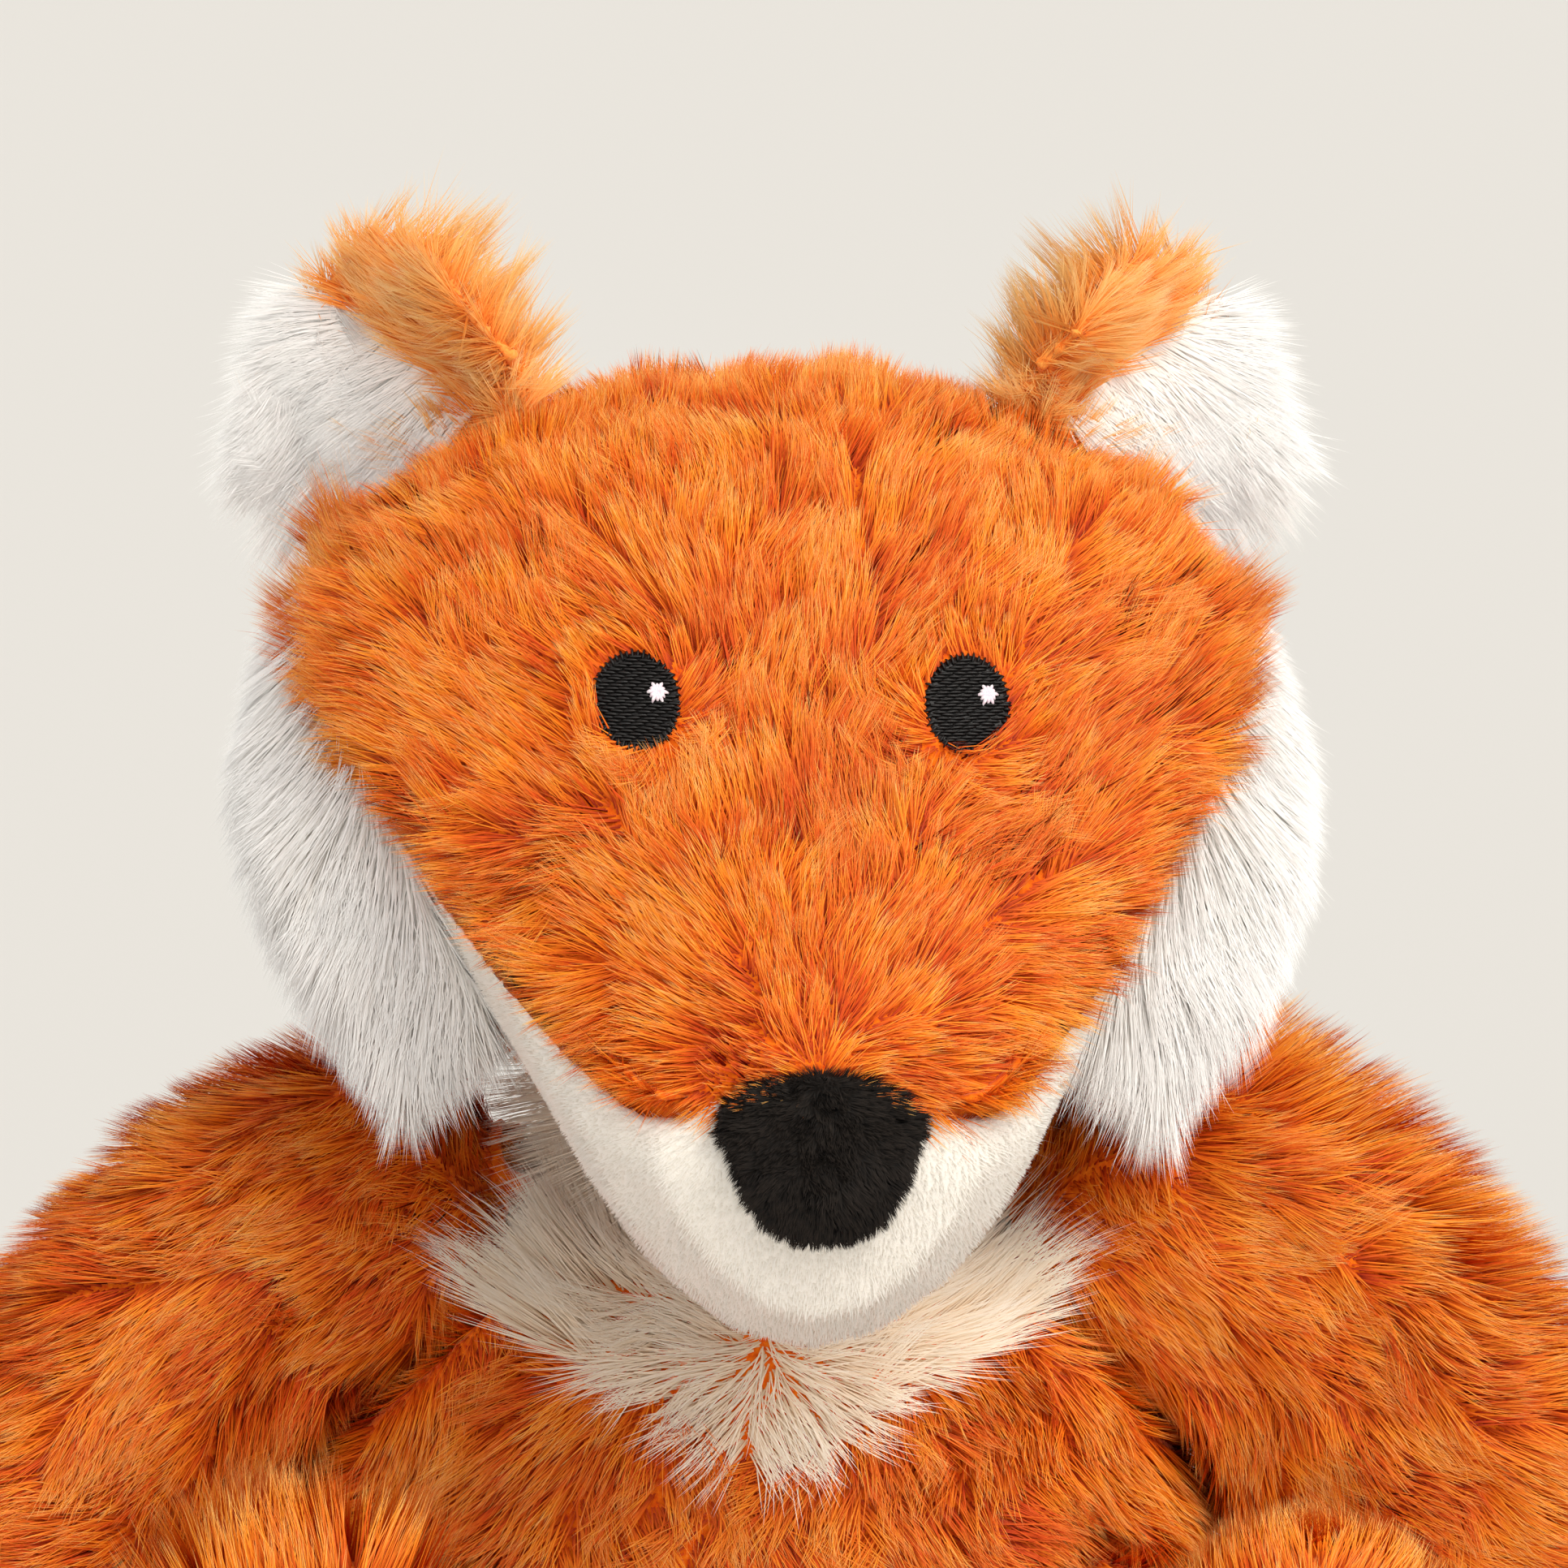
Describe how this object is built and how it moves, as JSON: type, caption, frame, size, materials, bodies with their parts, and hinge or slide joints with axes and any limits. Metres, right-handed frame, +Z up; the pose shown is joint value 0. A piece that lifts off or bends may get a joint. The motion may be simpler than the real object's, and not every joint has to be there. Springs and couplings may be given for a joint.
{
  "type": "plush fox",
  "caption": "Sitting plush fox with a long-pile coat, white cheek ruffs, short-pile jaw, embroidered eyes, turning head, folding ears, swinging limbs and tail.",
  "frame": {"origin": "on the ground, under the middle of the whole box", "axes": "+Z up, face towards -Y, +X towards the fox's own left side"},
  "size_m": [0.2828, 0.3044, 0.2625],
  "materials": {
    "orange_pile": "matte",
    "white_pile": "matte",
    "cream_pile": "matte",
    "jaw_pile": "matte",
    "black_pile": "matte",
    "eye_thread": "satin",
    "glint_thread": "satin",
    "stuffing": "matte",
    "pellet_cloth": "matte"
  },
  "bodies": {
    "torso": {"torso_cover": "orange_pile", "chest_bib": "cream_pile", "torso_filling": "stuffing", "pellet_bag": "pellet_cloth"},
    "neck": {"neck_filling": "stuffing"},
    "head": {"head_cover": "orange_pile", "head_filling": "stuffing", "chin_cover": "jaw_pile", "nose": "black_pile", "eye_right": "eye_thread", "eye_left": "eye_thread", "eye_glint_right": "glint_thread", "eye_glint_left": "glint_thread", "cheek_ruff_right": "white_pile", "cheek_ruff_left": "white_pile"},
    "ear_right": {"ear_back_right": "orange_pile", "ear_lining_right": "white_pile"},
    "ear_left": {"ear_back_left": "orange_pile", "ear_lining_left": "white_pile"},
    "arm_right": {"arm_cover_right": "orange_pile", "arm_filling_right": "stuffing"},
    "arm_left": {"arm_cover_left": "orange_pile", "arm_filling_left": "stuffing"},
    "leg_right": {"leg_cover_right": "orange_pile", "leg_filling_right": "stuffing"},
    "leg_left": {"leg_cover_left": "orange_pile", "leg_filling_left": "stuffing"},
    "tail": {"tail_cover": "orange_pile", "tail_tip": "white_pile", "tail_filling": "stuffing"}
  },
  "joints": [
    {"name": "neck_turn", "type": "hinge", "parent": "torso", "child": "neck", "pos_m": [0, -0.02065, 0.126], "axis": [0, 0, 1], "range_deg": [-15, 15], "stiffness_Nm_per_rad": 1},
    {"name": "head_nod", "type": "hinge", "parent": "neck", "child": "head", "pos_m": [0, -0.02065, 0.126], "axis": [-1, 0, 0], "range_deg": [-8, 10], "stiffness_Nm_per_rad": 2.5},
    {"name": "ear_fold_right", "type": "hinge", "parent": "head", "child": "ear_right", "pos_m": [-0.048, -0.02065, 0.2265], "axis": [0.5848, -0.6823, 0.4386], "range_deg": [-15, 30], "stiffness_Nm_per_rad": 0.05},
    {"name": "ear_fold_left", "type": "hinge", "parent": "head", "child": "ear_left", "pos_m": [0.048, -0.02065, 0.2265], "axis": [0.5848, 0.6823, -0.4386], "range_deg": [-15, 30], "stiffness_Nm_per_rad": 0.05},
    {"name": "arm_raise_right", "type": "hinge", "parent": "torso", "child": "arm_right", "pos_m": [-0.06, -0.02265, 0.108], "axis": [0, 1, 0], "range_deg": [0, 55], "stiffness_Nm_per_rad": 0.3},
    {"name": "arm_raise_left", "type": "hinge", "parent": "torso", "child": "arm_left", "pos_m": [0.06, -0.02265, 0.108], "axis": [0, -1, 0], "range_deg": [0, 55], "stiffness_Nm_per_rad": 0.3},
    {"name": "leg_swing_right", "type": "hinge", "parent": "torso", "child": "leg_right", "pos_m": [-0.047, -0.05865, 0.033], "axis": [-1, 0, 0], "range_deg": [-15, 20], "stiffness_Nm_per_rad": 0.3},
    {"name": "leg_swing_left", "type": "hinge", "parent": "torso", "child": "leg_left", "pos_m": [0.047, -0.05865, 0.033], "axis": [-1, 0, 0], "range_deg": [-15, 20], "stiffness_Nm_per_rad": 0.3},
    {"name": "tail_swing", "type": "hinge", "parent": "torso", "child": "tail", "pos_m": [0, 0.04135, 0.031], "axis": [0, 0, 1], "range_deg": [-25, 25], "stiffness_Nm_per_rad": 0.2}
  ]
}
